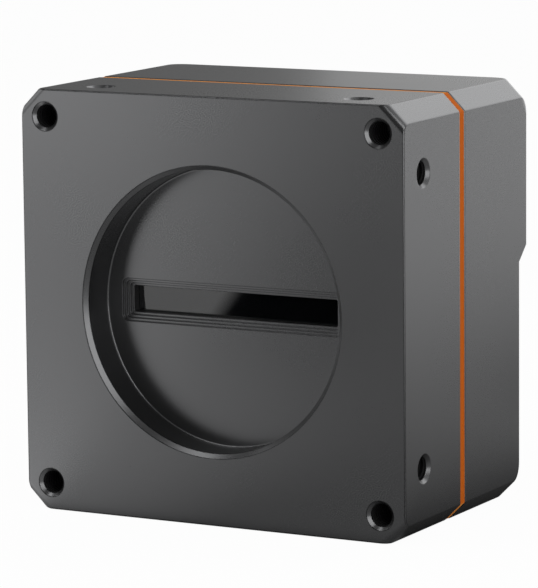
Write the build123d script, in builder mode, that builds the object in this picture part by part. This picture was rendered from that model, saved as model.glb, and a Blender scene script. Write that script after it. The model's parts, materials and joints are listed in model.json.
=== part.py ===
from build123d import *
import os
from math import cos, radians, sin

os.makedirs("parts", exist_ok=True)

# Frame: millimetres. The lens axis is Y, the front face lies at Y = 0, the back is towards +Y
# and +Z is up. X points to the right for someone who looks into the lens recess.

# Outer body
face_size = 62.0
corner_leg = 2.6
front_length = 17.9
seam_width = 1.4
rear_length = 18.8
rear_step = 2.5
step_foot_z = 4.1
step_rise = 2.3
front_corner_radius = 1.2
rear_corner_radius = 2.2
rear_edge_radius = 0.4
edge_break = 0.15
seam_edge_break = 0.2
seam_inset = 0.1

# Walls and inner space
side_wall = 2.5
rear_wall = 3.0
post_size = 7.0
post_radius = 2.0

# Lens recess
lens_bore_radius = 20.5
lens_chamfer = 0.65
recess_depth = 6.0
recess_fillet = 0.25
flange_distance = 12.0

# Stepped window frame in the floor of the recess
window_length = 35.9
window_height = 6.3
window_corner_radius = 0.9
window_steps = 3
window_tread = 0.4
window_step = 0.44
window_wall = 1.1
opening_radius = 0.25

# Threaded holes in the outside of the front housing
thread_radius = 1.65
thread_chamfer_radius = 2.15
front_hole_inset = 4.0
front_hole_depth = 6.5
side_hole_inset = 10.0
side_hole_y = 6.0
side_hole_depth = 5.0

# Long screws that hold the two housings together
screw_inset = 3.0
screw_radius = 1.5
screw_length = 25.0
screw_head_radius = 2.75
screw_head_height = 3.0
screw_socket_radius = 1.25
screw_socket_depth = 1.6
screw_hole_gap = 0.1
screw_head_gap = 0.15
screw_head_sink = 0.2
screw_tip_gap = 0.5

# Window glass, its seal and its clamp
glass_overlap = 1.55
glass_thickness = 1.1
glass_gap = 0.2
seal_thickness = 0.2
seal_width = 0.6
clamp_thickness = 0.8
clamp_margin = 2.4
clamp_screw_radius = 0.8
clamp_screw_length = 2.8
clamp_screw_head_radius = 1.5
clamp_screw_head_height = 0.9
clamp_screw_z = 4.4
clamp_screw_gap = 0.5

# Line sensor
package_thickness = 2.5
package_cavity_depth = 1.0
package_rim = 2.5
die_length = 29.6
die_height = 1.6
die_thickness = 0.4
die_clearance = 1.2
cover_land = 1.3
cover_thickness = 0.55

# Circuit boards and what joins them
board_gap = 0.5
board_thickness = 1.4
board_fix_inset = 5.5
board_fix_drop = 14.5
board_hole_gap = 0.15
stud_radius = 0.85
stud_length = 2.6
stud_gap = 0.05
spacer_width = 4.0
front_spacer_length = 4.0
rear_spacer_length = 3.0
spacer_end_wall = 0.6
boss_radius = 2.5
board_screw_head_radius = 1.9
board_screw_head_height = 1.3
board_screw_length = 2.8
interface_board_gap = 1.5
link_length = 18.0
link_width = 4.6
sensor_link_inset = 8.5
interface_link_inset = 19.5

# Chips on the processing board
chip_size = 15.0
chip_height = 2.2
pad_thickness = 0.8
pedestal_margin = 1.5
pedestal_inset = 3.5
memory_width = 8.0
memory_length = 11.0
memory_height = 1.0

# Network socket
jack_inset_x = 17.5
jack_inset_z = 15.5
jack_width = 16.0
jack_height = 13.5
jack_proud = 0.3
jack_sheet = 0.25
jack_gap = 0.15
plug_width = 11.8
plug_height = 6.9
plug_depth = 11.5
latch_width = 6.2
latch_height = 1.5
contact_count = 8
contact_pitch = 1.02
contact_width = 0.46
contact_thickness = 0.3
contact_drop = 1.8
contact_run = 8.0
contact_set_back = 1.2
contact_flat = 1.0
lock_reach = 10.75
lock_radius = 0.8

# Round power and trigger socket
power_inset_x = 14.5
power_inset_z = 15.5
power_bore_radius = 4.6
power_body_radius = 5.45
power_flange_radius = 6.3
power_flange_length = 1.7
power_body_length = 10.0
power_seal_thickness = 0.5
power_hole_gap = 0.1
insert_gap = 0.05
insert_length = 3.4
pin_radius = 0.35
pin_reach = 3.6
outer_pins = 9
outer_pin_circle_radius = 3.3
inner_pins = 3
inner_pin_circle_radius = 1.3
pin_tail = 0.4
nut_width = 13.5
nut_length = 2.0
key_width = 1.6
key_depth = 0.45

# Small parts on the interface board
transformer_length = 15.0
transformer_width = 5.4
transformer_height = 4.0
network_chip_size = 6.0
network_chip_height = 0.9
part_gap = 0.8
inductor_size = 6.0
inductor_height = 3.0
capacitor_radius = 3.15
capacitor_height = 5.4
capacitor_gap = 1.7
capacitor_drop = 2.5
led_rise = 8.5
led_width = 2.0
led_height = 1.2
light_pipe_radius = 1.0
light_pipe_proud = 0.2
light_pipe_collar = 1.6
light_pipe_collar_length = 1.0

# Depths behind the front face, each from the pieces in front of it
seam_front = front_length
seam_rear = seam_front + seam_width
rear_low = seam_rear + rear_length
rear_high = rear_low + rear_step
rear_inner = rear_low - rear_wall
frame_floor = recess_depth + window_steps * window_step
window_shoulder = frame_floor + window_wall
glass_front = window_shoulder + seal_thickness
floor_rear = glass_front + glass_thickness
clamp_rear = floor_rear + clamp_thickness
package_floor = flange_distance + die_thickness
package_front = package_floor - package_cavity_depth
sensor_board_front = package_front + package_thickness
sensor_board_rear = sensor_board_front + board_thickness
processing_front = sensor_board_rear + front_spacer_length
processing_rear = processing_front + board_thickness
interface_front = processing_rear + rear_spacer_length
interface_rear = interface_front + board_thickness
chip_rear = processing_rear + chip_height
pad_rear = chip_rear + pad_thickness
screw_seat = rear_low - screw_head_height - screw_head_sink
jack_rear = rear_low + jack_proud
power_seal_rear = rear_low + power_seal_thickness
power_rear = power_seal_rear + power_flange_length
power_body_front = power_seal_rear - power_body_length
power_insert_rear = power_body_front + insert_length

# Sizes across, each from the piece that it fits
cavity_size = face_size - 2 * side_wall
front_hole_spacing = face_size - 2 * front_hole_inset
side_hole_spacing = face_size - 2 * side_hole_inset
screw_spacing = cavity_size - 2 * screw_inset
board_fix_x = cavity_size / 2 - board_fix_inset
board_fix_z = cavity_size / 2 - board_fix_drop
sensor_link_z = sensor_link_inset - cavity_size / 2
interface_link_z = interface_link_inset - cavity_size / 2
opening_length = window_length - 2 * window_steps * window_tread
opening_height = window_height - 2 * window_steps * window_tread
glass_length = opening_length + 2 * glass_overlap
glass_height = opening_height + 2 * glass_overlap
die_space_length = die_length + 2 * die_clearance
die_space_height = die_height + 2 * die_clearance
package_length = die_space_length + 2 * package_rim
package_height = die_space_height + 2 * package_rim
clamp_screw_x = package_length / 2 + clamp_screw_head_radius + clamp_screw_gap
spacer_radius = spacer_width / 2 / cos(radians(30))
pedestal_size = chip_size + 2 * pedestal_margin
chip_z = cavity_size / 2 - pedestal_inset - pedestal_size / 2
interface_board_top = chip_z - pedestal_size / 2 - interface_board_gap
jack_x = cavity_size / 2 - jack_inset_x
jack_z = jack_inset_z - cavity_size / 2
power_x = power_inset_x - cavity_size / 2
power_z = power_inset_z - cavity_size / 2

# Middle of the gap between the two sockets, where the capacitors and the light stand
between_sockets_x = (jack_x - jack_width / 2 + power_x + power_body_radius) / 2
capacitor_z = jack_z - capacitor_drop
led_z = jack_z + led_rise

# Middle of the gap between the pedestal and a board screw, where a memory chip stands
memory_x = (pedestal_size / 2 + board_fix_x - board_screw_head_radius) / 2

# Distance within which two measured positions count as the same
tolerance = 0.01


def facing(depth):
    """Sketch plane at this depth behind the front face, which looks out of the lens side."""
    return Plane.XZ.offset(-depth)


def backing(depth):
    """Plane at this depth behind the front face, which looks out of the back."""
    return Plane(origin=(0, depth, 0), x_dir=(1, 0, 0), z_dir=(0, 1, 0))


def side_plane(angle):
    """Plane on one side of the body: 0 is the right, 90 the top, 180 the left, 270 the bottom."""
    outward = (cos(radians(angle)), 0, sin(radians(angle)))
    origin = (outward[0] * face_size / 2, 0, outward[2] * face_size / 2)
    return Plane(origin=origin, x_dir=(0, 1, 0), z_dir=outward)


def on_corner(edge):
    """True for an edge that runs across a cut corner of the body."""
    return abs(abs(edge.center().X) - abs(edge.center().Z)) < tolerance


def save(piece, name):
    """Name a finished piece and write it to its own file."""
    piece.part.label = name
    export_step(piece.part, f"parts/{name}.step")


# The square face with its four cut corners
with BuildSketch() as body_outline:
    Rectangle(face_size, face_size)
    chamfer(body_outline.vertices(), corner_leg)

# The inner space, with a post left in each corner for the long screws
with BuildSketch() as cavity_outline:
    Rectangle(cavity_size, cavity_size)
    with GridLocations(cavity_size, cavity_size, 2, 2):
        Rectangle(2 * post_size, 2 * post_size, mode=Mode.SUBTRACT)
    fillet(cavity_outline.vertices().sort_by_distance((0, 0))[:4], post_radius)

# A circuit board fills the inner space, less a gap all round
with BuildSketch() as board_outline:
    add(cavity_outline.sketch)
    offset(amount=-board_gap, kind=Kind.INTERSECTION)


# Front housing: machined from one block
with BuildPart() as front_housing:
    with BuildSketch(facing(seam_front)):
        add(body_outline.sketch)
    extrude(amount=front_length)
    fillet(
        front_housing.faces().sort_by(Axis.Y)[0].edges().filter_by(on_corner),
        front_corner_radius,
    )
    front_edges = front_housing.faces().sort_by(Axis.Y)[0].edges()
    chamfer(front_edges - front_edges.filter_by(on_corner), edge_break)
    chamfer(front_housing.faces().sort_by(Axis.Y)[-1].edges(), seam_edge_break)

    # Lens recess with its chamfered mouth and a small radius round its floor
    with BuildSketch(facing(recess_depth)):
        Circle(lens_bore_radius)
    extrude(amount=recess_depth, mode=Mode.SUBTRACT)
    recess_edges = front_housing.edges().filter_by(GeomType.CIRCLE).sort_by(SortBy.RADIUS)[-2:]
    chamfer(recess_edges.sort_by(Axis.Y)[0], lens_chamfer)
    recess_edges = front_housing.edges().filter_by(GeomType.CIRCLE).sort_by(Axis.Y)
    fillet(recess_edges.filter_by(lambda e: e.radius > lens_bore_radius / 2)[-1], recess_fillet)

    # Nested shallow steps down to the slot in front of the glass
    for level in range(window_steps):
        inset = level * window_tread
        with BuildSketch(facing(recess_depth + (level + 1) * window_step)):
            RectangleRounded(
                window_length - 2 * inset,
                window_height - 2 * inset,
                window_corner_radius - inset / 2,
            )
        extrude(amount=window_step, mode=Mode.SUBTRACT)
    with BuildSketch(facing(window_shoulder)):
        RectangleRounded(opening_length, opening_height, opening_radius)
    extrude(amount=window_wall, mode=Mode.SUBTRACT)

    # Inner space behind the floor, with the pocket for the glass
    with BuildSketch(facing(seam_front)):
        add(cavity_outline.sketch)
    extrude(amount=seam_front - floor_rear, mode=Mode.SUBTRACT)
    with BuildSketch(facing(floor_rear)):
        Rectangle(glass_length + 2 * glass_gap, glass_height + 2 * glass_gap)
    extrude(amount=floor_rear - window_shoulder, mode=Mode.SUBTRACT)

    # Bosses that carry the boards
    with BuildSketch(facing(sensor_board_front)):
        with GridLocations(2 * board_fix_x, 2 * board_fix_z, 2, 2):
            Circle(boss_radius)
    extrude(amount=sensor_board_front - floor_rear)

    # Threaded holes outside
    with Locations(facing(0)):
        with GridLocations(front_hole_spacing, front_hole_spacing, 2, 2):
            CounterSinkHole(thread_radius, thread_chamfer_radius, front_hole_depth, 90)
    for angle in range(0, 360, 90):
        with Locations(side_plane(angle)):
            with Locations((side_hole_y, 0)):
                with GridLocations(0, side_hole_spacing, 1, 2):
                    CounterSinkHole(thread_radius, thread_chamfer_radius, side_hole_depth, 90)

    # Threaded holes inside, for the long screws, the board studs and the clamp screws
    with Locations(backing(seam_front)):
        with GridLocations(screw_spacing, screw_spacing, 2, 2):
            Hole(screw_radius + stud_gap, seam_front - screw_seat + screw_length + screw_tip_gap)
    with Locations(backing(sensor_board_front)):
        with GridLocations(2 * board_fix_x, 2 * board_fix_z, 2, 2):
            Hole(stud_radius + stud_gap, stud_length)
    with Locations(backing(floor_rear)):
        with GridLocations(2 * clamp_screw_x, 2 * clamp_screw_z, 2, 2):
            Hole(clamp_screw_radius + stud_gap, clamp_screw_length - clamp_thickness + screw_tip_gap)

save(front_housing, "front_housing")


# Seam gasket: a flat ring of the body's outline, a little inside it
with BuildPart() as seam_gasket:
    with BuildSketch(facing(seam_rear)):
        add(body_outline.sketch)
        offset(amount=-seam_inset, kind=Kind.INTERSECTION)
        add(cavity_outline.sketch, mode=Mode.SUBTRACT)
        with GridLocations(screw_spacing, screw_spacing, 2, 2):
            Circle(screw_radius + screw_hole_gap, mode=Mode.SUBTRACT)
    extrude(amount=seam_width)

save(seam_gasket, "seam_gasket")


# Rear housing: machined from one block, its upper half a step deeper than its lower half
with BuildPart() as rear_housing:
    with BuildSketch(facing(rear_high)):
        add(body_outline.sketch)
    extrude(amount=rear_high - seam_rear)
    with BuildSketch(Plane.YZ.offset(-face_size / 2)):
        with BuildLine():
            Polyline(
                (rear_low, -face_size / 2),
                (rear_low, step_foot_z),
                (rear_high, step_foot_z + step_rise),
                (rear_high, -face_size / 2),
                close=True,
            )
        make_face()
    extrude(amount=face_size, mode=Mode.SUBTRACT)
    chamfer(rear_housing.faces().sort_by(Axis.Y)[0].edges(), seam_edge_break)

    # Large radius across the corners of the back, small radius on its other outer edges
    rear_edges = rear_housing.edges().filter_by(lambda e: e.center().Y > rear_low - tolerance)
    fillet(rear_edges.filter_by(on_corner), rear_corner_radius)
    rear_edges = rear_housing.edges().filter_by(lambda e: e.center().Y > rear_low - tolerance)
    step_foot = rear_edges.filter_by(Axis.X).sort_by(lambda e: abs(e.center().Z))[:1]
    fillet(rear_edges - rear_edges.filter_by(on_corner) - step_foot, rear_edge_radius)

    # Inner space, with a pedestal that takes the processor's heat to the back
    with BuildSketch(facing(rear_inner)):
        add(cavity_outline.sketch)
    extrude(amount=rear_inner - seam_rear, mode=Mode.SUBTRACT)
    with BuildSketch(facing(rear_inner)):
        with Locations((0, chip_z)):
            Rectangle(pedestal_size, pedestal_size)
    extrude(amount=rear_inner - pad_rear)

    # Holes for the long screws, their heads sunk below the lower back
    with BuildSketch(facing(rear_high)):
        with GridLocations(screw_spacing, screw_spacing, 2, 2):
            Circle(screw_head_radius + screw_head_gap)
    extrude(amount=rear_high - screw_seat, mode=Mode.SUBTRACT)
    with BuildSketch(facing(screw_seat)):
        with GridLocations(screw_spacing, screw_spacing, 2, 2):
            Circle(screw_radius + screw_hole_gap)
    extrude(amount=screw_seat - seam_rear, mode=Mode.SUBTRACT)

    # Openings for the sockets, the lock screws of the network plug and the light pipe
    with BuildSketch(facing(rear_low)):
        with Locations((jack_x, jack_z)):
            Rectangle(jack_width + 2 * jack_gap, jack_height + 2 * jack_gap)
            with GridLocations(2 * lock_reach, 0, 2, 1):
                Circle(lock_radius)
        with Locations((power_x, power_z)):
            Circle(power_body_radius + power_hole_gap)
        with Locations((between_sockets_x, led_z)):
            Circle(light_pipe_radius + stud_gap)
    extrude(amount=rear_wall, mode=Mode.SUBTRACT)

save(rear_housing, "rear_housing")


# Long screws with a hexagon socket in each head
with BuildPart() as housing_screws:
    with BuildSketch(facing(screw_seat + screw_head_height)):
        with GridLocations(screw_spacing, screw_spacing, 2, 2):
            Circle(screw_head_radius)
    extrude(amount=screw_head_height)
    with BuildSketch(facing(screw_seat)):
        with GridLocations(screw_spacing, screw_spacing, 2, 2):
            Circle(screw_radius)
    extrude(amount=screw_length)
    with BuildSketch(facing(screw_seat + screw_head_height)):
        with GridLocations(screw_spacing, screw_spacing, 2, 2):
            RegularPolygon(screw_socket_radius, 6, major_radius=False)
    extrude(amount=screw_socket_depth, mode=Mode.SUBTRACT)

save(housing_screws, "housing_screws")


# Window seal: a thin frame on the shoulder round the slot
with BuildPart() as window_seal:
    with BuildSketch(facing(glass_front)):
        Rectangle(opening_length + 2 * seal_width, opening_height + 2 * seal_width)
        Rectangle(opening_length, opening_height, mode=Mode.SUBTRACT)
    extrude(amount=seal_thickness)

save(window_seal, "window_seal")


# Window glass
with BuildPart() as sensor_window:
    with BuildSketch(facing(floor_rear)):
        Rectangle(glass_length, glass_height)
    extrude(amount=glass_thickness)

save(sensor_window, "sensor_window")


# Clamp plate: holds the glass in its pocket and leaves the line of sight open
with BuildPart() as window_clamp:
    with BuildSketch(facing(clamp_rear)):
        Rectangle(2 * (clamp_screw_x + clamp_margin), 2 * (clamp_screw_z + clamp_margin))
        Rectangle(opening_length, opening_height, mode=Mode.SUBTRACT)
        with GridLocations(2 * clamp_screw_x, 2 * clamp_screw_z, 2, 2):
            Circle(clamp_screw_radius + screw_hole_gap, mode=Mode.SUBTRACT)
    extrude(amount=clamp_thickness)
    fillet(window_clamp.edges().filter_by(Axis.Y).sort_by(Axis.X)[:2], clamp_margin / 2)
    fillet(window_clamp.edges().filter_by(Axis.Y).sort_by(Axis.X)[-2:], clamp_margin / 2)

save(window_clamp, "window_clamp")


# Clamp screws
with BuildPart() as clamp_screws:
    with BuildSketch(facing(clamp_rear + clamp_screw_head_height)):
        with GridLocations(2 * clamp_screw_x, 2 * clamp_screw_z, 2, 2):
            Circle(clamp_screw_head_radius)
    extrude(amount=clamp_screw_head_height)
    with BuildSketch(facing(clamp_rear)):
        with GridLocations(2 * clamp_screw_x, 2 * clamp_screw_z, 2, 2):
            Circle(clamp_screw_radius)
    extrude(amount=clamp_screw_length)

save(clamp_screws, "clamp_screws")


# Sensor package: a ceramic tray with the chip on its floor
with BuildPart() as sensor_package:
    with BuildSketch(facing(sensor_board_front)):
        Rectangle(package_length, package_height)
    extrude(amount=package_thickness)
    with BuildSketch(facing(package_floor)):
        Rectangle(die_space_length, die_space_height)
    extrude(amount=package_cavity_depth, mode=Mode.SUBTRACT)

save(sensor_package, "sensor_package")


# Line sensor chip: its face lies at the flange distance behind the front face
with BuildPart() as sensor_die:
    with BuildSketch(facing(package_floor)):
        Rectangle(die_length, die_height)
    extrude(amount=die_thickness)

save(sensor_die, "sensor_die")


# Cover glass on the package
with BuildPart() as sensor_cover_glass:
    with BuildSketch(facing(package_front)):
        Rectangle(die_space_length + 2 * cover_land, die_space_height + 2 * cover_land)
    extrude(amount=cover_thickness)

save(sensor_cover_glass, "sensor_cover_glass")


# Sensor board
with BuildPart() as sensor_board:
    with BuildSketch(facing(sensor_board_rear)):
        add(board_outline.sketch)
        with GridLocations(2 * board_fix_x, 2 * board_fix_z, 2, 2):
            Circle(stud_radius + board_hole_gap, mode=Mode.SUBTRACT)
    extrude(amount=board_thickness)

save(sensor_board, "sensor_board")


# Processing board
with BuildPart() as processing_board:
    with BuildSketch(facing(processing_rear)):
        add(board_outline.sketch)
        with GridLocations(2 * board_fix_x, 2 * board_fix_z, 2, 2):
            Circle(stud_radius + board_hole_gap, mode=Mode.SUBTRACT)
    extrude(amount=board_thickness)

save(processing_board, "processing_board")


def add_pin_circles(radius, mode):
    """One circle for each pin of the round socket, drawn in the current sketch."""
    with Locations((power_x, power_z)):
        with PolarLocations(outer_pin_circle_radius, outer_pins):
            Circle(radius, mode=mode)
        with PolarLocations(inner_pin_circle_radius, inner_pins):
            Circle(radius, mode=mode)


# Interface board: the lower part of the board outline, below the pedestal
with BuildPart() as interface_board:
    with BuildSketch(facing(interface_rear)):
        add(board_outline.sketch)
        with Locations((0, interface_board_top)):
            Rectangle(
                cavity_size, cavity_size, align=(Align.CENTER, Align.MIN), mode=Mode.SUBTRACT
            )
        with Locations((-board_fix_x, -board_fix_z), (board_fix_x, -board_fix_z)):
            Circle(stud_radius + board_hole_gap, mode=Mode.SUBTRACT)
        add_pin_circles(pin_radius + stud_gap, Mode.SUBTRACT)
    extrude(amount=board_thickness)

save(interface_board, "interface_board")


def build_spacers(front, length, places):
    """Hexagonal spacers, each with a stud in front and a threaded hole behind."""
    with BuildPart() as spacers:
        with BuildSketch(facing(front + length)):
            with Locations(*places):
                RegularPolygon(spacer_radius, 6)
        extrude(amount=length)
        with BuildSketch(facing(front)):
            with Locations(*places):
                Circle(stud_radius)
        extrude(amount=board_thickness + stud_length - screw_tip_gap)
        with BuildSketch(facing(front + length)):
            with Locations(*places):
                Circle(stud_radius + stud_gap)
        extrude(amount=min(stud_length, length - spacer_end_wall), mode=Mode.SUBTRACT)
    return spacers


lower_fixings = [(-board_fix_x, -board_fix_z), (board_fix_x, -board_fix_z)]
upper_fixings = [(-board_fix_x, board_fix_z), (board_fix_x, board_fix_z)]

front_spacers = build_spacers(sensor_board_rear, front_spacer_length, lower_fixings + upper_fixings)
save(front_spacers, "front_spacers")

rear_spacers = build_spacers(processing_rear, rear_spacer_length, lower_fixings)
save(rear_spacers, "rear_spacers")


# Board screws: two behind the interface board and two behind the processing board
with BuildPart() as board_screws:
    for seat, places in ((interface_rear, lower_fixings), (processing_rear, upper_fixings)):
        with BuildSketch(facing(seat + board_screw_head_height)):
            with Locations(*places):
                Circle(board_screw_head_radius)
        extrude(amount=board_screw_head_height)
        with BuildSketch(facing(seat)):
            with Locations(*places):
                Circle(stud_radius)
        extrude(amount=board_screw_length)

save(board_screws, "board_screws")


def build_link(front, gap, z):
    """A plug and its socket between two boards: a tongue on the plug enters the socket."""
    middle = front + gap / 2
    tongue_end = middle + gap / 4
    with BuildPart() as plug:
        with BuildSketch(facing(middle)):
            with Locations((0, z)):
                Rectangle(link_length, link_width)
        extrude(amount=gap / 2)
        with BuildSketch(facing(tongue_end)):
            with Locations((0, z)):
                Rectangle(link_length - link_width, link_width / 2)
        extrude(amount=tongue_end - middle)
    with BuildPart() as socket:
        with BuildSketch(facing(front + gap)):
            with Locations((0, z)):
                Rectangle(link_length, link_width)
        extrude(amount=gap / 2)
        with BuildSketch(facing(tongue_end + stud_gap)):
            with Locations((0, z)):
                Rectangle(
                    link_length - link_width + 2 * stud_gap, link_width / 2 + 2 * stud_gap
                )
        extrude(amount=tongue_end + stud_gap - middle, mode=Mode.SUBTRACT)
    return plug, socket


sensor_link_plug, sensor_link_socket = build_link(
    sensor_board_rear, front_spacer_length, sensor_link_z
)
save(sensor_link_plug, "sensor_link_plug")
save(sensor_link_socket, "sensor_link_socket")
interface_link_plug, interface_link_socket = build_link(
    processing_rear, rear_spacer_length, interface_link_z
)
save(interface_link_plug, "interface_link_plug")
save(interface_link_socket, "interface_link_socket")


# Image processor, with the soft pad between it and the pedestal of the rear housing
with BuildPart() as processor_chip:
    with BuildSketch(facing(chip_rear)):
        with Locations((0, chip_z)):
            Rectangle(chip_size, chip_size)
    extrude(amount=chip_height)

save(processor_chip, "processor_chip")

with BuildPart() as thermal_pad:
    with BuildSketch(facing(pad_rear)):
        with Locations((0, chip_z)):
            Rectangle(chip_size, chip_size)
    extrude(amount=pad_thickness)

save(thermal_pad, "thermal_pad")


# Memory chips, one on each side of the processor
with BuildPart() as memory_chips:
    with BuildSketch(facing(processing_rear + memory_height)):
        with Locations((0, chip_z)):
            with GridLocations(2 * memory_x, 0, 2, 1):
                Rectangle(memory_width, memory_length)
    extrude(amount=memory_height)

save(memory_chips, "memory_chips")


# Network socket: a folded sheet metal shell round a moulded body with eight contact springs
with BuildPart() as network_jack_shell:
    with BuildSketch(facing(jack_rear)):
        with Locations((jack_x, jack_z)):
            Rectangle(jack_width, jack_height)
            Rectangle(
                jack_width - 2 * jack_sheet, jack_height - 2 * jack_sheet, mode=Mode.SUBTRACT
            )
    extrude(amount=jack_rear - interface_rear)

save(network_jack_shell, "network_jack_shell")

insert_rear = jack_rear - jack_sheet
plug_top = jack_z + (plug_height + latch_height) / 2
plug_bottom = plug_top - plug_height

with BuildPart() as network_jack_insert:
    with BuildSketch(facing(insert_rear)):
        with Locations((jack_x, jack_z)):
            Rectangle(
                jack_width - 2 * jack_sheet - 2 * insert_gap,
                jack_height - 2 * jack_sheet - 2 * insert_gap,
            )
    extrude(amount=insert_rear - interface_rear)
    with BuildSketch(facing(insert_rear)):
        with Locations((jack_x, plug_top)):
            Rectangle(plug_width, plug_height, align=(Align.CENTER, Align.MAX))
        with Locations((jack_x, plug_bottom)):
            Rectangle(latch_width, latch_height, align=(Align.CENTER, Align.MAX))
    extrude(amount=plug_depth, mode=Mode.SUBTRACT)

save(network_jack_insert, "network_jack_insert")

# Each contact lies flat under the top of the opening, then slopes down into it
contact_start = insert_rear - contact_set_back
contact_bend = contact_start - contact_flat
contact_end = contact_bend - contact_run
contact_low = plug_top - contact_drop

with BuildPart() as network_jack_contacts:
    for index in range(contact_count):
        contact_x = jack_x + (index - (contact_count - 1) / 2) * contact_pitch - contact_width / 2
        with BuildSketch(Plane.YZ.offset(contact_x)):
            with BuildLine():
                Polyline(
                    (contact_start, plug_top),
                    (contact_bend, plug_top),
                    (contact_end, contact_low),
                    (contact_end, contact_low - contact_thickness),
                    (contact_bend, plug_top - contact_thickness),
                    (contact_start, plug_top - contact_thickness),
                    close=True,
                )
            make_face()
        extrude(amount=contact_width)

save(network_jack_contacts, "network_jack_contacts")


# Round power and trigger socket: metal shell with a flange outside and a nut inside
with BuildPart() as power_connector_shell:
    with BuildSketch(facing(power_rear)):
        with Locations((power_x, power_z)):
            Circle(power_flange_radius)
    extrude(amount=power_flange_length)
    with BuildSketch(facing(power_seal_rear)):
        with Locations((power_x, power_z)):
            Circle(power_body_radius)
    extrude(amount=power_body_length)
    chamfer(power_connector_shell.edges().sort_by(Axis.Y)[-1], power_flange_length / 4)
    with BuildSketch(facing(power_rear)):
        with Locations((power_x, power_z)):
            Circle(power_bore_radius)
    extrude(amount=power_rear - power_body_front, mode=Mode.SUBTRACT)
    # Key rib at the top of the bore, behind the insert
    with BuildSketch(facing(power_rear - power_flange_length / 2)):
        with Locations((power_x, power_z + power_bore_radius - key_depth)):
            Rectangle(key_width, 2 * key_depth, align=(Align.CENTER, Align.MIN))
    extrude(amount=power_rear - power_flange_length / 2 - power_insert_rear - stud_gap)

save(power_connector_shell, "power_connector_shell")

with BuildPart() as power_connector_seal:
    with BuildSketch(facing(power_seal_rear)):
        with Locations((power_x, power_z)):
            Circle(power_flange_radius - insert_gap)
            Circle(power_body_radius + insert_gap, mode=Mode.SUBTRACT)
    extrude(amount=power_seal_thickness)

save(power_connector_seal, "power_connector_seal")

with BuildPart() as power_connector_nut:
    with BuildSketch(facing(rear_inner)):
        with Locations((power_x, power_z)):
            RegularPolygon(nut_width / 2, 6, major_radius=False)
            Circle(power_body_radius + insert_gap, mode=Mode.SUBTRACT)
    extrude(amount=nut_length)

save(power_connector_nut, "power_connector_nut")

with BuildPart() as power_connector_insert:
    with BuildSketch(facing(power_insert_rear)):
        with Locations((power_x, power_z)):
            Circle(power_bore_radius - insert_gap)
        add_pin_circles(pin_radius + insert_gap / 2, Mode.SUBTRACT)
    extrude(amount=insert_length)

save(power_connector_insert, "power_connector_insert")

with BuildPart() as power_connector_pins:
    with BuildSketch(facing(power_insert_rear + pin_reach)):
        add_pin_circles(pin_radius, Mode.ADD)
    extrude(amount=power_insert_rear + pin_reach - interface_front + pin_tail)

save(power_connector_pins, "power_connector_pins")


# Small parts that stand on the back of the interface board
with BuildPart() as network_transformer:
    with BuildSketch(facing(interface_rear + transformer_height)):
        with Locations((jack_x, jack_z + (jack_height + transformer_width) / 2 + part_gap)):
            Rectangle(transformer_length, transformer_width)
    extrude(amount=transformer_height)

save(network_transformer, "network_transformer")

with BuildPart() as network_chip:
    with BuildSketch(facing(interface_rear + network_chip_height)):
        with Locations((jack_x, jack_z - (jack_height + network_chip_size) / 2 - part_gap)):
            Rectangle(network_chip_size, network_chip_size)
    extrude(amount=network_chip_height)

save(network_chip, "network_chip")

with BuildPart() as power_inductor:
    with BuildSketch(facing(interface_rear + inductor_height)):
        with Locations((power_x, power_z + power_body_radius + part_gap + inductor_size / 2)):
            RectangleRounded(inductor_size, inductor_size, inductor_size / 6)
    extrude(amount=inductor_height)

save(power_inductor, "power_inductor")

with BuildPart() as power_capacitors:
    with BuildSketch(facing(interface_rear + capacitor_height)):
        with Locations((between_sockets_x, capacitor_z)):
            with GridLocations(0, 2 * capacitor_radius + capacitor_gap, 1, 2):
                Circle(capacitor_radius)
    extrude(amount=capacitor_height)

save(power_capacitors, "power_capacitors")

with BuildPart() as status_led:
    with BuildSketch(facing(interface_rear + led_height)):
        with Locations((between_sockets_x, led_z)):
            Rectangle(led_width, led_width)
    extrude(amount=led_height)

save(status_led, "status_led")


# Light pipe: a clear rod through the rear wall, with a collar against the inside
with BuildPart() as light_pipe:
    with BuildSketch(facing(rear_low + light_pipe_proud)):
        with Locations((between_sockets_x, led_z)):
            Circle(light_pipe_radius)
    extrude(amount=rear_low + light_pipe_proud - interface_rear - led_height - part_gap / 2)
    with BuildSketch(facing(rear_inner)):
        with Locations((between_sockets_x, led_z)):
            Circle(light_pipe_collar)
    extrude(amount=light_pipe_collar_length)

save(light_pipe, "light_pipe")
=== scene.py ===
# %% [markdown]
# # A machine vision camera, dressed and lit
# The shapes of this camera come from its CAD model, which loads here as a fixed frame: every node is a
# real piece, in metres, and stays where it is. This lesson adds what CAD doesn't hold: the finish of
# each piece, the turns of the screw threads, the studio and the camera. Nothing else is read from disk.

# %% Load the frame
import json
from math import cos, pi, radians, sin

import bmesh
import bpy
from mathutils import Matrix, Vector


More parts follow.
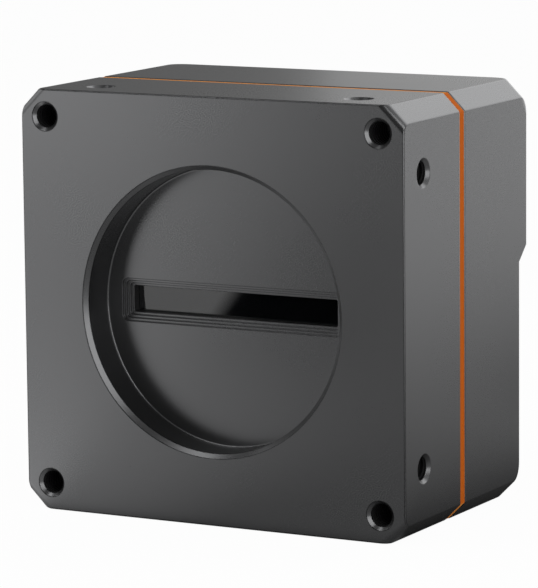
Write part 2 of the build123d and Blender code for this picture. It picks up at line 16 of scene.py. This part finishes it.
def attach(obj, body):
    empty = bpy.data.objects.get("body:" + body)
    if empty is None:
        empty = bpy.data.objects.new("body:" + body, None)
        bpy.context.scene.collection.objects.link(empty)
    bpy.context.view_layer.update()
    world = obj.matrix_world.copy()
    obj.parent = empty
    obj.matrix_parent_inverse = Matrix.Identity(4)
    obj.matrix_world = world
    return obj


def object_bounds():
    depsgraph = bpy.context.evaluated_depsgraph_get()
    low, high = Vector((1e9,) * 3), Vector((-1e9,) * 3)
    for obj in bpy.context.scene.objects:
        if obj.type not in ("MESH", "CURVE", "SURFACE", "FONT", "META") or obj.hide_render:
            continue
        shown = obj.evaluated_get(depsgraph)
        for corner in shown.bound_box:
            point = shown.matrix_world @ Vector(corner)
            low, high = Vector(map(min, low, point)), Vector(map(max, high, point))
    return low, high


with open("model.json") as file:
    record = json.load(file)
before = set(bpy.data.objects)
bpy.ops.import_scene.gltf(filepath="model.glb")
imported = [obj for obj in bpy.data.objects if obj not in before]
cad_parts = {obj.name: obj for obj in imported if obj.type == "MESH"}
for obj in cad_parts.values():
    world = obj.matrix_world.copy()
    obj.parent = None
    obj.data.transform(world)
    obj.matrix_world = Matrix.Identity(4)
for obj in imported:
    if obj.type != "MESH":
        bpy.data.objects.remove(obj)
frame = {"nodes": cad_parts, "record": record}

nodes = frame["nodes"]
cad_box = [list(corner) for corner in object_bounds()]
print("nodes:", len(nodes), "CAD box:", cad_box)


# %% [markdown]
# ## Smooth curves and crisp edges
# The frame's meshes come from exact solids, cut into triangles. Shaded flat, a bore would show its
# facets. Shaded smooth, every machined edge would look melted. Auto smoothing solves this: faces are
# shaded smooth, and the mesh is split where two faces meet at more than a set angle. Here three
# modifiers do it, so the frame's own vertices aren't touched. Weld joins the triangles, and Edge Split
# parts them at the sharp edges. Weighted Normal then lets the large flat faces set the shading, so that
# the thin triangles round a hole leave no shadow on them.

# %% Shade the frame's nodes
WELD_DISTANCE = 1e-7
SHARP_ANGLE = radians(28)
FLAT_FACE_WEIGHT = 100


def shade_by_angle(piece):
    """Smooth shading that breaks at sharp edges, with no change to the mesh itself."""
    for polygon in piece.data.polygons:
        polygon.use_smooth = True
    weld = piece.modifiers.new("weld", "WELD")
    weld.merge_threshold = WELD_DISTANCE
    split = piece.modifiers.new("sharp edges", "EDGE_SPLIT")
    split.split_angle = SHARP_ANGLE
    level = piece.modifiers.new("flat faces stay flat", "WEIGHTED_NORMAL")
    level.mode, level.weight = "FACE_AREA", FLAT_FACE_WEIGHT


for piece in nodes.values():
    shade_by_angle(piece)
print("shaded", len(nodes), "nodes")


# %% [markdown]
# ## Adding nodes in one call
# A material is a tree of nodes, and each node takes several lines: make it, set its mode, fill its
# sockets, link it. A Graph does this in one call, which takes the node's type, its settings and its
# inputs. The settings come first, because a node such as Math or Mix changes its sockets with its mode.
# Short methods on top of it make the few nodes that are needed again and again.

# %% Graph
class Graph:
    """Adds nodes to one node tree."""

    def __init__(self, tree):
        self.tree = tree
        tree.nodes.clear()

    def add(self, kind, settings=None, inputs=None, output=0):
        """One node: its settings first, then a value or a Flow for each input named or numbered."""
        node = self.tree.nodes.new(kind)
        for name, value in (settings or {}).items():
            setattr(node, name, value)
        for name, value in (inputs or {}).items():
            if isinstance(value, Flow):
                self.tree.links.new(value.socket, node.inputs[name])
            else:
                node.inputs[name].default_value = value
        return Flow(self, node.outputs[output]) if node.outputs else node

    def math(self, operation, *values, clamp=False):
        """A sum on numbers and Flows; clamp keeps its result between 0 and 1."""
        settings = {"operation": operation, "use_clamp": clamp}
        return self.add("ShaderNodeMath", settings, dict(enumerate(values)))

    def vectors(self, operation, *values, output="Vector"):
        """Vector Math; its output is a Vector, or a Value such as a length."""
        settings = {"operation": operation}
        return self.add("ShaderNodeVectorMath", settings, dict(enumerate(values)), output)

    def along(self, vector, axis):
        """How far a vector reaches along an axis."""
        return self.vectors("DOT_PRODUCT", vector, axis, output="Value")

    def length(self, vector):
        return self.vectors("LENGTH", vector, output="Value")

    def light_path(self, kind):
        """1 for light rays of one kind, 0 for all others."""
        return self.add("ShaderNodeLightPath", output=kind)


print("Graph: one call for one node")


# %% [markdown]
# ## Shader sums as Python expressions
# A mask is a sum such as 1 - mask, or a * b + c. With a Math node placed for every sign, such a formula
# can't be read any more. A Flow wraps one output socket and knows + - *, also with a plain number before
# it, so that a sum stays a sum and adds its Math nodes by itself. Numbers that don't change over a
# surface are worked out in plain Python, which takes no node.

# %% Flow
class Flow:
    """The output of a node, with sums."""

    def __init__(self, graph, socket):
        self.graph, self.socket = graph, socket

    def __add__(self, other):
        return self.graph.math("ADD", self, other)

    def __sub__(self, other):
        return self.graph.math("SUBTRACT", self, other)

    def __rsub__(self, other):
        return self.graph.math("SUBTRACT", other, self)

    def __mul__(self, other):
        return self.graph.math("MULTIPLY", self, other)

    def clamped(self):
        return self.graph.math("ADD", self, 0.0, clamp=True)

    def rising(self, start, end):
        """0 up to start, 1 from end on, and an even slope between."""
        return self.graph.math("DIVIDE", self - start, end - start, clamp=True)

    __radd__ = __add__
    __rmul__ = __mul__


print("Flow: sums of sockets")


# %% [markdown]
# ## Colours and empty materials
# A Math node takes a colour for one number and turns it grey, so two colours are blended by a Mix node.
# Its colour sockets have the same names as its number sockets, and so they are reached by number.

# %% Colours and materials
MIX_FIRST, MIX_SECOND, MIX_RESULT = 6, 7, 2


def mix_colour(graph, factor, first, second):
    """A colour between two others: the first at factor 0, the second at factor 1."""
    first, second = (part if isinstance(part, Flow) else (*part, 1) for part in (first, second))
    ends = {"Factor": factor, MIX_FIRST: first, MIX_SECOND: second}
    return graph.add("ShaderNodeMix", {"data_type": "RGBA"}, ends, MIX_RESULT)


def new_material(name):
    material = bpy.data.materials.new(name)
    material.use_nodes = True
    return material, Graph(material.node_tree)


print("helpers ready for colours and materials")


# %% [markdown]
# ## A thin line of painted shade along the edges
# No real edge is quite sharp. To cut a tiny round on each edge of the mesh would take many faces, so a
# Bevel node turns the normal close to the edges instead. On the dark metal the colour is also darkened
# in a thin line along the edges of the front face, and in a fainter one along those of the recess:
# painted shade. A drawn line would need its own geometry. Here it shows where the turned normal has
# left the surface's own, so the cosine between the two is its mask, and depth and radius, in metres,
# keep it to the front face and the recess.

# %% Painted edge shade
# The painted edge shade: how far the normal turns before it starts and is full, and where it shows, in
# metres.
LINE_TURN = 0.003, 0.028
FRONT_DEPTH = 0.0006, 0.0008
RECESS_RADIUS, RECESS_DEPTH, RECESS_SHARE = (0.0206, 0.0208), (0.0086, 0.0088), 0.45


def painted_edge_shade(graph, place, turned_normal):
    """Where the painted shade runs: along the edges of the front face, and fainter in the recess."""
    own_normal = graph.add("ShaderNodeNewGeometry", output="Normal")
    turned = (1 - graph.along(turned_normal, own_normal)).rising(*LINE_TURN)
    depth = graph.along(place, (0, 1, 0))
    off_axis = graph.vectors("MULTIPLY", place, (1, 0, 1))
    at_front = 1 - depth.rising(*FRONT_DEPTH)
    in_bore = 1 - graph.length(off_axis).rising(*RECESS_RADIUS)
    in_recess = in_bore * (1 - depth.rising(*RECESS_DEPTH))
    return turned * (at_front + in_recess * RECESS_SHARE).clamped()


print("dark line: full at the front, a share of", RECESS_SHARE, "in the recess")


# %% [markdown]
# ## One recipe for most finishes
# Metal, moulded plastic, rubber and lacquer differ in a few numbers, but each has the same kinds of
# detail: a slow change of tone over centimetres, a little change of roughness, a fine grain that catches
# the light, and slightly broken edges. The recipe makes them from two noise textures in object
# coordinates, which are metres here, so that a grain keeps its real size on every piece, and from a Bevel
# node.

# %% The recipe
BLACK = (0, 0, 0)
SLOW_DETAIL, FINE_DETAIL = 3.0, 2.0
BEVEL_SAMPLES = 8


def surface(name, colour, roughness, metallic=0.0, tone=0.06, patch=0.012, grain=0.00025,
            grain_depth=0.000004, rough_change=0.05, edge_break=0.00006, painted_shade_strength=0.0, **fixed):
    """A material. Tone and rough_change are the shares that change; patch, grain, grain_depth and
    edge_break are sizes in metres; the last named argument is how dark the painted shade along the
    edges is."""
    material, graph = new_material(name)
    place = graph.add("ShaderNodeTexCoord", output="Object")
    slow = graph.add("ShaderNodeTexNoise", None,
                     {"Vector": place, "Scale": 1 / patch, "Detail": SLOW_DETAIL})
    fine = graph.add("ShaderNodeTexNoise", None,
                     {"Vector": place, "Scale": 1 / grain, "Detail": FINE_DETAIL})
    darker = tuple(part * (1 - tone) for part in colour)
    lighter = tuple(part * (1 + tone) for part in colour)
    rough = slow * rough_change + fine * rough_change + (roughness - rough_change)
    edges = graph.add("ShaderNodeBevel", {"samples": BEVEL_SAMPLES}, {"Radius": edge_break})
    normal = graph.add("ShaderNodeBump", None, {"Strength": 1.0, "Distance": grain_depth,
                                                "Height": fine, "Normal": edges})
    base = mix_colour(graph, slow, darker, lighter)
    if painted_shade_strength:
        # painted shade: the colour goes towards black along the edges
        base = mix_colour(graph, painted_edge_shade(graph, place, edges) * painted_shade_strength, base, BLACK)
    shader = graph.add("ShaderNodeBsdfPrincipled", None, {
        "Base Color": base,
        "Roughness": rough,
        "Metallic": metallic,
        "Normal": normal,
        **fixed,
    })
    graph.add("ShaderNodeOutputMaterial", None, {"Surface": shader})
    return material


print("recipe ready, with", BEVEL_SAMPLES, "samples for an edge")


# %% [markdown]
# ## The finishes
# The two housings are aluminium, blasted fine and anodised dark grey: a metal with a soft, wide
# highlight. The threads are of the same metal, but their colour is close to black: painted shade for
# the dark inside of the holes, where light is caught between the ridges. The seam gasket is orange
# silicone, dull and slightly waxy. Gloss would turn it grey on the top, which the eye sees at a flat
# angle, so it has sheen, which stays orange there. Behind the slot sits coated glass. The rest is what
# such a camera has inside and on its back: circuit boards under green lacquer, black moulded parts,
# and nickel, tin and gold plating.

# %% Make the finishes
finishes = {
    "housing": surface("anodised aluminium", (0.139, 0.140, 0.143), 0.28, metallic=0.96,
                       tone=0.035, patch=0.02, grain=0.00018, grain_depth=0.0000012, rough_change=0.03,
                       # the housing's colour gets a line of painted shade along its edges
                       edge_break=0.0002, painted_shade_strength=0.93),
    # painted shade: a near-black colour for the threads, for the dark inside of the holes
    "threads": surface("thread in painted shade", (0.009, 0.009, 0.0093), 0.6, tone=0.03, patch=0.002,
                       **{"Specular IOR Level": 0.06}),
    "gasket": surface("orange silicone", (0.43, 0.076, 0.002), 0.6, tone=0.08, patch=0.006,
                      **{"Specular IOR Level": 0.02, "Sheen Weight": 0.8, "Sheen Roughness": 0.35,
                         "Sheen Tint": (1.0, 0.5, 0.12, 1)}),
    "dark_screws": surface("black oxide steel", (0.035, 0.035, 0.038), 0.35, metallic=0.9),
    "black_rubber": surface("black rubber", (0.018, 0.018, 0.018), 0.7),
    "steel": surface("plain steel", (0.5, 0.5, 0.5), 0.3, metallic=1.0),
    "package_ceramic": surface("dark ceramic", (0.045, 0.042, 0.042), 0.55),
    "silicon": surface("silicon", (0.03, 0.034, 0.045), 0.12, metallic=0.6, tone=0.2, patch=0.0006),
    "board": surface("green solder mask", (0.012, 0.085, 0.03), 0.35, patch=0.003, tone=0.15),
    "nickel": surface("nickel plating", (0.56, 0.54, 0.5), 0.28, metallic=1.0),
    "socket_plastic": surface("black moulded plastic", (0.016, 0.016, 0.017), 0.45),
    "chip": surface("chip moulding", (0.02, 0.02, 0.021), 0.6),
    "pad": surface("thermal pad", (0.3, 0.33, 0.38), 0.8),
    "tin_plate": surface("tin plate", (0.62, 0.62, 0.6), 0.22, metallic=1.0),
    "gold": surface("gold plating", (0.86, 0.6, 0.2), 0.2, metallic=1.0),
    "capacitor_can": surface("capacitor can", (0.6, 0.6, 0.62), 0.25, metallic=1.0),
    "led": surface("status light", (0.6, 0.65, 0.45), 0.2),
    "light_pipe": surface("clear rod", (0.75, 0.78, 0.8), 0.12, **{"Transmission Weight": 0.6}),
    "window_glass": surface("coated window glass", (0.02, 0.022, 0.026), 0.03, tone=0.02,
                            rough_change=0.01, grain_depth=0.0,
                            **{"Transmission Weight": 0.9, "IOR": 1.65}),
    "cover_glass": surface("cover glass", (0.7, 0.72, 0.75), 0.02, rough_change=0.01,
                           grain_depth=0.0, **{"Transmission Weight": 0.9}),
}
print("finishes:", sorted(finishes))


# %% [markdown]
# ## Each node gets its finish
# The record that comes with the frame names a finish for every node. It is read here instead of a second
# list of nodes, so the two can't drift apart when a piece is added to the CAD model.

# %% Dress the nodes
for row in frame["record"]["subparts"]:
    piece = nodes[row["node"]]
    piece.data.materials.clear()
    piece.data.materials.append(finishes[row["material_slot"]])


# %% [markdown]
# ## Screw threads in the holes
# The twelve small holes of the real body are tapped, and a tapped hole isn't smooth inside: one ridge
# winds down its wall. A bore with a spiral painted on it would look flat from close by. Here a small
# triangle is swept along a helix, point by point with bmesh, because a modifier would leave no control
# of where the thread starts and ends. Its foot sinks a little into the wall, so no gap shows.

# %% One ridge
THREAD_PITCH, THREAD_HALF_WIDTH = 0.0007, 0.00021
FOOT_RADIUS, CREST_RADIUS = 0.00166, 0.00154
THREAD_START = 0.00055
STEPS_PER_TURN = 32


def wind_thread(mesh, mouth, axis, end):
    """One closed ridge around a hole whose mouth and direction into the body are given."""
    axis = Vector(axis)
    across = axis.orthogonal().normalized()
    around = axis.cross(across)
    profile = ((FOOT_RADIUS, -THREAD_HALF_WIDTH), (CREST_RADIUS, 0.0), (FOOT_RADIUS, THREAD_HALF_WIDTH))
    rings = []
    for step in range(int((end - THREAD_START) / THREAD_PITCH * STEPS_PER_TURN) + 1):
        angle = 2 * pi * step / STEPS_PER_TURN
        outward = cos(angle) * across + sin(angle) * around
        depth = THREAD_START + THREAD_PITCH * step / STEPS_PER_TURN
        rings.append([mesh.verts.new(Vector(mouth) + radius * outward + (depth + shift) * axis)
                      for radius, shift in profile])
    for ring, following in zip(rings, rings[1:]):
        for corner in range(len(profile)):
            other = (corner + 1) % len(profile)
            mesh.faces.new((ring[corner], ring[other], following[other], following[corner]))
    mesh.faces.new(reversed(rings[0]))
    mesh.faces.new(rings[-1])


print("ridge: pitch", THREAD_PITCH, "m, from radius", FOOT_RADIUS, "to", CREST_RADIUS)


# %% [markdown]
# ## The threads of each side
# Twelve loose ridges would be twelve objects that look the same. The ridges of one side are made as one
# mesh instead, so there are five pieces, named after their sides, and they ride on the root body. The
# places are the holes' own in the CAD model, in metres.

# %% Wind the threads
def thread_piece(name, holes):
    """One object with the threads of several holes: a list of mouth, direction and end depth."""
    mesh = bmesh.new()
    for mouth, axis, end in holes:
        wind_thread(mesh, mouth, axis, end)
    bmesh.ops.recalc_face_normals(mesh, faces=mesh.faces)
    data = bpy.data.meshes.new(name)
    mesh.to_mesh(data)
    mesh.free()
    piece = bpy.data.objects.new(name, data)
    bpy.context.scene.collection.objects.link(piece)
    for polygon in data.polygons:
        polygon.use_smooth = True
    piece.modifiers.new("sharp edges", "EDGE_SPLIT").split_angle = SHARP_ANGLE
    # the near-black thread finish is painted shade for the inside of the holes
    data.materials.append(finishes["threads"])
    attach(piece, "root")


BODY_HALF = cad_box[1][0]
FRONT_PLACES, SIDE_PLACES = (-0.027, 0.027), (-0.021, 0.021)
SIDE_DEPTH = 0.006
FRONT_END, SIDE_END = 0.0060, 0.0046
thread_piece("front_threads", [((x, 0, z), (0, 1, 0), FRONT_END)
                               for x in FRONT_PLACES for z in FRONT_PLACES])
for name, side in (("right", 1), ("left", -1)):
    thread_piece(name + "_threads", [((side * BODY_HALF, SIDE_DEPTH, z), (-side, 0, 0), SIDE_END)
                                     for z in SIDE_PLACES])
for name, side in (("top", 1), ("bottom", -1)):
    thread_piece(name + "_threads", [((x, SIDE_DEPTH, side * BODY_HALF), (0, 0, -side), SIDE_END)
                                     for x in SIDE_PLACES])


# %% [markdown]
# ## The floor
# Product pictures are taken on a pale floor that runs out of view. A curved paper backdrop would do, but
# a single large sheet at the height of the body's base is enough here, because the eye sees floor and
# room in the same white. The sheet is so wide that its edge never shows.

# %% Floor sheet
FLOOR_HALF = 4.0

floor_z = cad_box[0][2]
corners = [(x * FLOOR_HALF, y * FLOOR_HALF, floor_z) for x, y in ((-1, -1), (1, -1), (1, 1), (-1, 1))]
floor_mesh = bpy.data.meshes.new("floor")
floor_mesh.from_pydata(corners, [], [(0, 1, 2, 3)])
floor = bpy.data.objects.new("floor", floor_mesh)
bpy.context.scene.collection.objects.link(floor)
print("floor at", floor_z)


# %% [markdown]
# ## What the metal sees on the floor
# The dark metal mirrors the floor, so in mirror directions the floor has light and shade painted on it,
# in the tones of a lit studio floor: painted light under the left card, a painted shadow beside that
# card as from a black flag, a soft glow close by at the left, more light far off and behind, and
# painted shade under and behind the body. An image of a studio would do this too, but sums on the
# floor's own position need no file, and they stay where they are when the view turns. Places and
# widths are in metres, and a glow of 1 is white.

# %% Floor tones in the mirror
CARD_NORMAL, CARD_EDGE, CARD_BLUR = (-0.923, 0.386, 0.0), 0.0272, 0.004
# width, blur and distances of the painted shadow beside the left card, as of a black flag
FLAG_WIDTH, FLAG_BLUR, FLAG_NEAR, FLAG_FULL = 0.05, 0.01, 0.11, 0.14
FAR_START, FAR_END = 0.04, 0.34
BACK_AXIS, BACK_START, BACK_END = (0.1, 0.99, 0.0), 0.07, 0.27
LOW_LEFT_START, LOW_LEFT_END, LOW_LEFT_FADE = 0.002, 0.035, 2
SHADE_SIDE, SHADE_SIDE_END = 0.027, 0.055
SHADE_FRONT, SHADE_FULL, SHADE_BACK, SHADE_END, SHADE_LIFT = -0.005, 0.005, 0.05, 0.09, 0.4
CARD_GLOW, BACK_GLOW, FAR_GLOW, NEAR_GLOW, LOW_LEFT_GLOW = 0.72, 0.47, 0.28, 0.30, 0.5

# All tones below are light and shade painted on the floor, seen by way of mirrors and glass.
floor_material, graph = new_material("pale floor")
place = graph.add("ShaderNodeNewGeometry", output="Position")
away = graph.length(place)
far = away.rising(FAR_START, FAR_END)
past_edge = graph.along(place, CARD_NORMAL) - CARD_EDGE
under_card = past_edge.rising(-CARD_BLUR / 2, CARD_BLUR / 2)
beside_card = past_edge.rising(-FLAG_WIDTH, FLAG_BLUR - FLAG_WIDTH) * (1 - under_card)
# painted shadow beside the left card, as a black flag would cast; no flag stands there
painted_flag_shadow = 1 - beside_card * away.rising(FLAG_NEAR, FLAG_FULL)
to_left = graph.along(place, (-1, 0, 0)).rising(LOW_LEFT_START, LOW_LEFT_END)
low_left = to_left * (1 - far * LOW_LEFT_FADE).clamped()
low_glow = (far * FAR_GLOW + low_left * LOW_LEFT_GLOW + NEAR_GLOW) * painted_flag_shadow
back_glow = graph.along(place, BACK_AXIS).rising(BACK_START, BACK_END) * BACK_GLOW
beside = graph.along(place, (1, 0, 0)).rising(SHADE_SIDE, SHADE_SIDE_END)
depth = graph.along(place, (0, 1, 0))
behind = depth.rising(SHADE_FRONT, SHADE_FULL) * (1 - depth.rising(SHADE_BACK, SHADE_END) * SHADE_LIFT)
# painted shade under and behind the body
shade = 1 - behind * (1 - beside) * (1 - far)
mirror_glow = (under_card * CARD_GLOW + back_glow + low_glow) * shade
print("floor tones:", len(floor_material.node_tree.nodes), "nodes")


# %% [markdown]
# ## A white floor that keeps its shade
# To the eye the floor is white, by its own light, so it needs no strong lamp that would wash out the
# body. A small share of it is real cloth, which keeps the shade where the body stands. Light Path tells
# the rays apart: those that reach the eye get the white, those that come by way of a mirror or a glass
# get the tones above, and all others meet only cloth.

# %% Floor material
WHITE = (1, 1, 1, 1)
CLOTH_TONE, CLOTH_SHARE = 0.6, 0.03


def eye_and_mirror(graph):
    """Two masks: rays that reach the eye, and rays that come by way of a mirror or a glass."""
    mirror = graph.light_path("Is Glossy Ray") + graph.light_path("Is Transmission Ray")
    return graph.light_path("Is Camera Ray"), mirror


to_eye, to_mirror = eye_and_mirror(graph)
strength = mirror_glow * to_mirror + to_eye
seen = graph.add("ShaderNodeEmission", None, {"Color": WHITE, "Strength": strength})
cloth = graph.add("ShaderNodeBsdfDiffuse", None, {"Color": (CLOTH_TONE, CLOTH_TONE, CLOTH_TONE, 1)})
share = (to_eye * (1 - CLOTH_SHARE) + to_mirror).clamped()
mixed = graph.add("ShaderNodeMixShader", None, {"Fac": share, 1: cloth, 2: seen})
graph.add("ShaderNodeOutputMaterial", None, {"Surface": mixed})
floor_mesh.materials.append(floor_material)
print("floor:", floor_material.name, "with", CLOTH_SHARE, "of cloth")


# %% [markdown]
# ## The room around
# Beyond the floor stands the room, which in Blender is the world. The eye sees it white. Dull surfaces
# get a plain, even light from it. Mirrors see a white backdrop high behind the body, a pale ceiling
# above it, and a dim room elsewhere, a little brighter to the back and right. One even white world would
# be simpler, but then every face of the metal would have the same tone, and the body would lose its form.

# %% World
BACKDROP_AXIS, BACKDROP_START, BACKDROP_FULL = (0.15, 0.87, 0.47), 0.78, 0.94
CEILING_AXIS, CEILING_START, CEILING_FULL = (0.45, 0.35, 0.82), 0.72, 0.92
ROOM_AXIS = (0.6, 0.8, 0.0)
BACKDROP_GLOW, CEILING_GLOW, ROOM_GLOW, ROOM_LEAST, AMBIENT = 0.75, 0.4, 0.25, 0.02, 0.6

world = bpy.data.worlds.new("studio")
world.use_nodes = True
bpy.context.scene.world = world
graph = Graph(world.node_tree)
direction = graph.add("ShaderNodeTexCoord", output="Generated")
to_eye, to_mirror = eye_and_mirror(graph)
backdrop = graph.along(direction, BACKDROP_AXIS).rising(BACKDROP_START, BACKDROP_FULL)
room = graph.along(direction, ROOM_AXIS).rising(-1, 1)
ceiling = graph.along(direction, CEILING_AXIS).rising(CEILING_START, CEILING_FULL)
mirrored = backdrop * BACKDROP_GLOW + room * ROOM_GLOW + ceiling * CEILING_GLOW + ROOM_LEAST
strength = to_eye + to_mirror * mirrored + (1 - to_eye - to_mirror).clamped() * AMBIENT
seen = graph.add("ShaderNodeBackground", None, {"Color": WHITE, "Strength": strength})
graph.add("ShaderNodeOutputWorld", None, {"Surface": seen})
print("world: ambient", AMBIENT, "backdrop", BACKDROP_GLOW)


# %% [markdown]
# ## Softboxes
# Dark metal has almost no colour of its own: it shows what stands around it. So each flat face of the
# body is lit by thinking backwards, from the eye to the face and on to where the mirror image comes
# from. Point lights would give hard sparks there. Soft rectangles give the broad, even tones that a
# satin metal has in a catalogue picture, and where one ends near a face, that face gets its gradient.

# %% Softbox
def softbox(name, place, aim, width, height, radiance):
    """A soft rectangular light, set by how bright its own face is: 1 is as bright as white paper."""
    lamp = bpy.data.lights.new(name, "AREA")
    lamp.shape, lamp.size, lamp.size_y = "RECTANGLE", width, height
    lamp.energy = radiance * pi * width * height
    box = bpy.data.objects.new(name, lamp)
    bpy.context.scene.collection.objects.link(box)
    view = (Vector(aim) - Vector(place)).to_track_quat("-Z", "Y").to_matrix().to_4x4()
    box.matrix_world = Matrix.Translation(place) @ view


print("softbox ready")


# %% [markdown]
# ## Where the softboxes stand
# Even light from all sides would be simpler, but each part of the body needs its own tone, so each light
# has its own task. The left card brightens the left of the front face, and the wall of light beyond it
# the left side. The right card is for the left lip of the recess, and the overhead one, in front and to
# the left, for its lower lip. The cut corners mirror the back card. The top mirrors the weak rim light,
# which stands low and far behind.

# %% Lights
SOFTBOXES = (  # name, place, the point it aims at, width, height, radiance
    ("left card", (-0.167, -0.090, 0.10), (-0.087, 0.062, 0.10), 0.20, 0.19, 0.5),
    ("left wall", (-0.32, -0.01, 0.12), (0, -0.01, 0.06), 0.30, 0.24, 0.9),
    ("overhead", (-0.19, -0.20, 0.42), (-0.02, -0.02, 0), 0.24, 0.18, 2.3),
    ("right card", (0.18, -0.11, 0.10), (0, 0, 0.03), 0.14, 0.26, 2.1),
    ("back card", (0.14, 0.21, 0.175), (0.14, 0, 0.13), 0.32, 0.25, 0.7),
    ("rim", (-0.10, 0.45, 0.11), (-0.10, 0, 0.03), 0.24, 0.12, 0.45),
)
for row in SOFTBOXES:
    softbox(*row)


# %% [markdown]
# ## The camera
# A long lens from a little over half a metre keeps the edges of the body nearly parallel, as in a
# catalogue picture. It is placed by three axes: right, up, and back from the picture to the eye.

# %% Camera
AZIMUTH, ELEVATION, ROLL = radians(28.469), radians(8.893), radians(-0.56)
SHIFT_RIGHT, SHIFT_UP, DISTANCE = 0.00842, 0.00273, 0.56389
LENS_MM, SENSOR_MM, NEAREST = 242.19, 36, 0.01
back = Vector((sin(AZIMUTH) * cos(ELEVATION), -cos(AZIMUTH) * cos(ELEVATION), sin(ELEVATION)))
level = Vector((cos(AZIMUTH), sin(AZIMUTH), 0))
upright = back.cross(level)
right = cos(ROLL) * level + sin(ROLL) * upright
up = cos(ROLL) * upright - sin(ROLL) * level
eye = bpy.data.objects.new("eye", bpy.data.cameras.new("eye"))
eye.data.lens, eye.data.sensor_width = LENS_MM, SENSOR_MM
eye.data.clip_start = NEAREST
turn = Matrix((right, up, back)).transposed().to_4x4()
eye.matrix_world = Matrix.Translation(SHIFT_RIGHT * right + SHIFT_UP * up + DISTANCE * back) @ turn
bpy.context.scene.collection.objects.link(eye)
bpy.context.scene.camera = eye
bpy.context.scene.view_settings.view_transform = "Standard"
print("camera at", [round(part, 4) for part in eye.matrix_world.translation])
